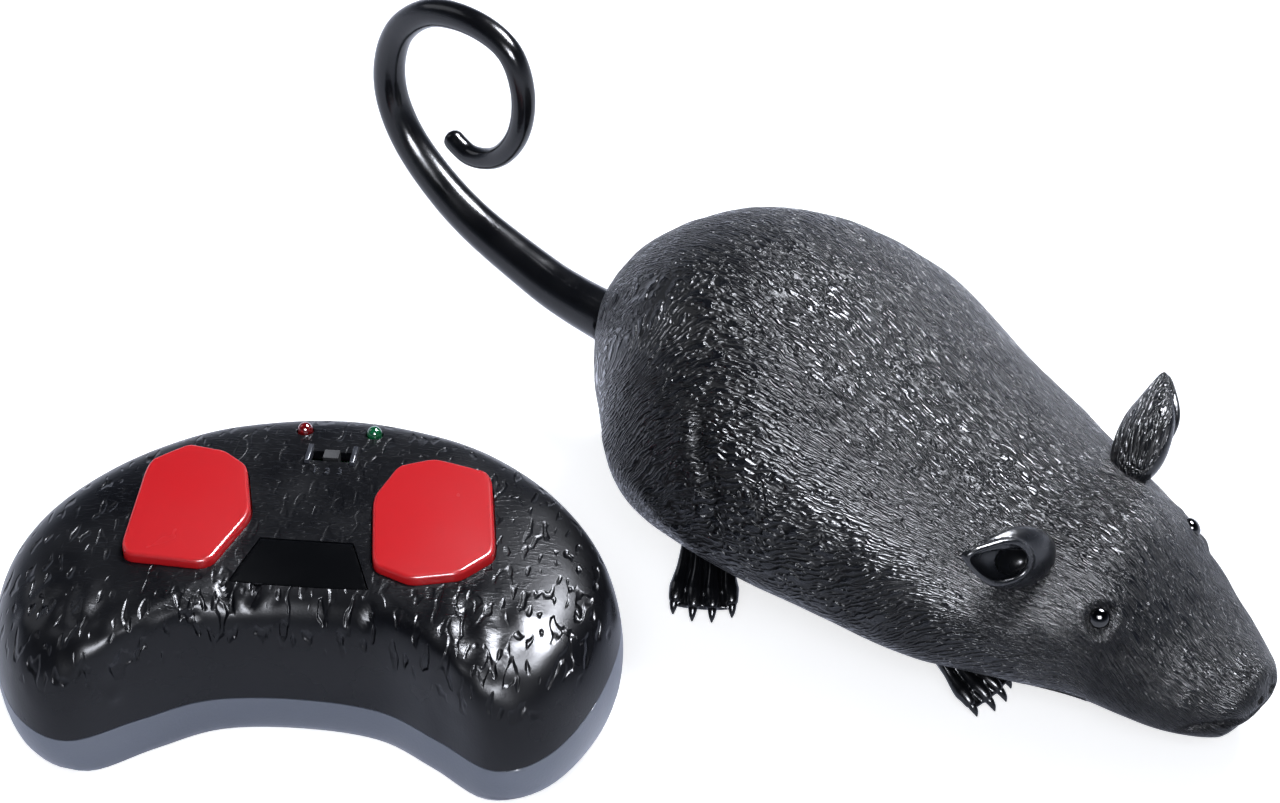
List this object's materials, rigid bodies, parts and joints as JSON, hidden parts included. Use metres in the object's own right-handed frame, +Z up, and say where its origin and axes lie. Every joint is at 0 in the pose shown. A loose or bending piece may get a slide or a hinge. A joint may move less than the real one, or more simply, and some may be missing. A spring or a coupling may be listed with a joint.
{
  "type": "remote control rat toy",
  "caption": "Toy rat with moulded fur, a curled tail and a motor that drives its rear wheels, with a kidney-shaped infrared handset that has raised push buttons and a channel slider.",
  "frame": {"origin": "middle of the footprint of rat and handset together, on the floor they stand on", "axes": "+X from the rat's tail to its nose, +Y to the rat's left, +Z up"},
  "size_m": [0.2566, 0.2186, 0.0996],
  "materials": {
    "fur_relief": "semi-gloss black vinyl with moulded fur relief",
    "belly_plastic": "satin black",
    "soft_vinyl": "glossy soft black",
    "bead": "polished black",
    "grey_plastic": "satin grey",
    "steel": "plain",
    "brass": "plain",
    "nylon": "ivory",
    "tyre": "matt",
    "board": "green laminate",
    "dark_lens": "dark and clear to infrared",
    "cell_sleeve": "printed sleeve colour, plain",
    "black_shell": "black with a moulded leather grain",
    "red_key": "polished red",
    "red_lens": "clear red",
    "green_lens": "clear green",
    "silicone": "milky"
  },
  "bodies": {
    "rat": {"body_shell": "fur_relief", "belly_pan": "belly_plastic", "right_ear": "soft_vinyl", "left_ear": "soft_vinyl", "right_eye": "bead", "left_eye": "bead", "right_rear_foot": "soft_vinyl", "left_rear_foot": "soft_vinyl", "right_front_foot": "soft_vinyl", "left_front_foot": "soft_vinyl", "tail": "soft_vinyl", "gearbox_housing": "grey_plastic", "gearbox_cover": "grey_plastic", "motor_can": "steel", "power_switch_body": "steel", "rat_right_cell": "cell_sleeve", "rat_left_cell": "cell_sleeve", "rat_cell_bridge": "steel", "rat_spring_terminal": "steel", "rat_plate_terminal": "steel", "rat_battery_door": "belly_plastic", "rat_door_screw": "steel", "rat_circuit_board": "board", "infrared_receiver": "dark_lens", "right_pan_screw": "steel", "left_pan_screw": "steel"},
    "rear_axle_set": {"rear_axle": "steel", "right_wheel": "nylon", "left_wheel": "nylon", "right_tyre": "tyre", "left_tyre": "tyre", "drive_gear": "nylon"},
    "idler": {"compound_gear": "nylon"},
    "rotor": {"motor_shaft": "steel", "motor_pinion": "brass"},
    "caster_swivel": {"caster_fork": "grey_plastic", "caster_axle": "steel"},
    "caster_roller": {"caster_wheel": "tyre"},
    "power_slider": {"power_switch_slider": "grey_plastic"},
    "handset": {"handset_top_shell": "black_shell", "handset_bottom_shell": "black_shell", "left_button_dome": "silicone", "right_button_dome": "silicone", "red_led": "red_lens", "green_led": "green_lens", "handset_circuit_board": "board", "infrared_emitter": "dark_lens", "channel_switch_body": "steel", "handset_right_cell": "cell_sleeve", "handset_left_cell": "cell_sleeve", "handset_cell_bridge": "steel", "handset_spring_terminal": "steel", "handset_plate_terminal": "steel", "handset_battery_door": "black_shell", "handset_door_screw": "steel", "left_handset_screw": "steel", "right_handset_screw": "steel"},
    "left_key": {"left_button": "red_key"},
    "right_key": {"right_button": "red_key"},
    "channel_slider": {"channel_switch_knob": "black_shell"}
  },
  "joints": [
    {"name": "rear_axle_spin", "type": "hinge", "parent": "rat", "child": "rear_axle_set", "pos_m": [-0.01266, 0.06074, 0.0125], "axis": [0, 1, 0], "continuous": true},
    {"name": "idler_spin", "type": "hinge", "parent": "rat", "child": "idler", "pos_m": [-0.01266, 0.06074, 0.0227], "axis": [0, 1, 0], "continuous": true},
    {"name": "rotor_spin", "type": "hinge", "parent": "rat", "child": "rotor", "pos_m": [-0.01266, 0.06074, 0.0335], "axis": [0, 1, 0], "continuous": true},
    {"name": "caster_swing", "type": "hinge", "parent": "rat", "child": "caster_swivel", "pos_m": [0.07534, 0.06074, 0.012], "axis": [0, 0, 1], "range_deg": [0, 38]},
    {"name": "caster_roll", "type": "hinge", "parent": "caster_swivel", "child": "caster_roller", "pos_m": [0.07184, 0.06074, 0.0055], "axis": [0, 1, 0], "continuous": true},
    {"name": "power_slide", "type": "slide", "parent": "rat", "child": "power_slider", "axis": [0, 1, 0], "range_m": [0, 0.003]},
    {"name": "handset_lift", "type": "slide", "parent": "rat", "child": "handset", "axis": [0, 0, 1], "range_m": [0, 0.1]},
    {"name": "left_key_press", "type": "slide", "parent": "handset", "child": "left_key", "axis": [0, 0, -1], "range_m": [0, 0.0015], "stiffness_N_per_m": 800, "springref_m": -0.0005, "deforming": ["left_button_dome"]},
    {"name": "right_key_press", "type": "slide", "parent": "handset", "child": "right_key", "axis": [0, 0, -1], "range_m": [0, 0.0015], "stiffness_N_per_m": 800, "springref_m": -0.0005, "deforming": ["right_button_dome"]},
    {"name": "channel_slide", "type": "slide", "parent": "handset", "child": "channel_slider", "axis": [0.8241, 0.5664, 0], "range_m": [-0.0025, 0.0025]}
  ],
  "couplings": [
    {"joint": "idler_spin", "follows": "rear_axle_spin", "ratio": -2.4},
    {"joint": "rotor_spin", "follows": "rear_axle_spin", "ratio": 6.24}
  ]
}
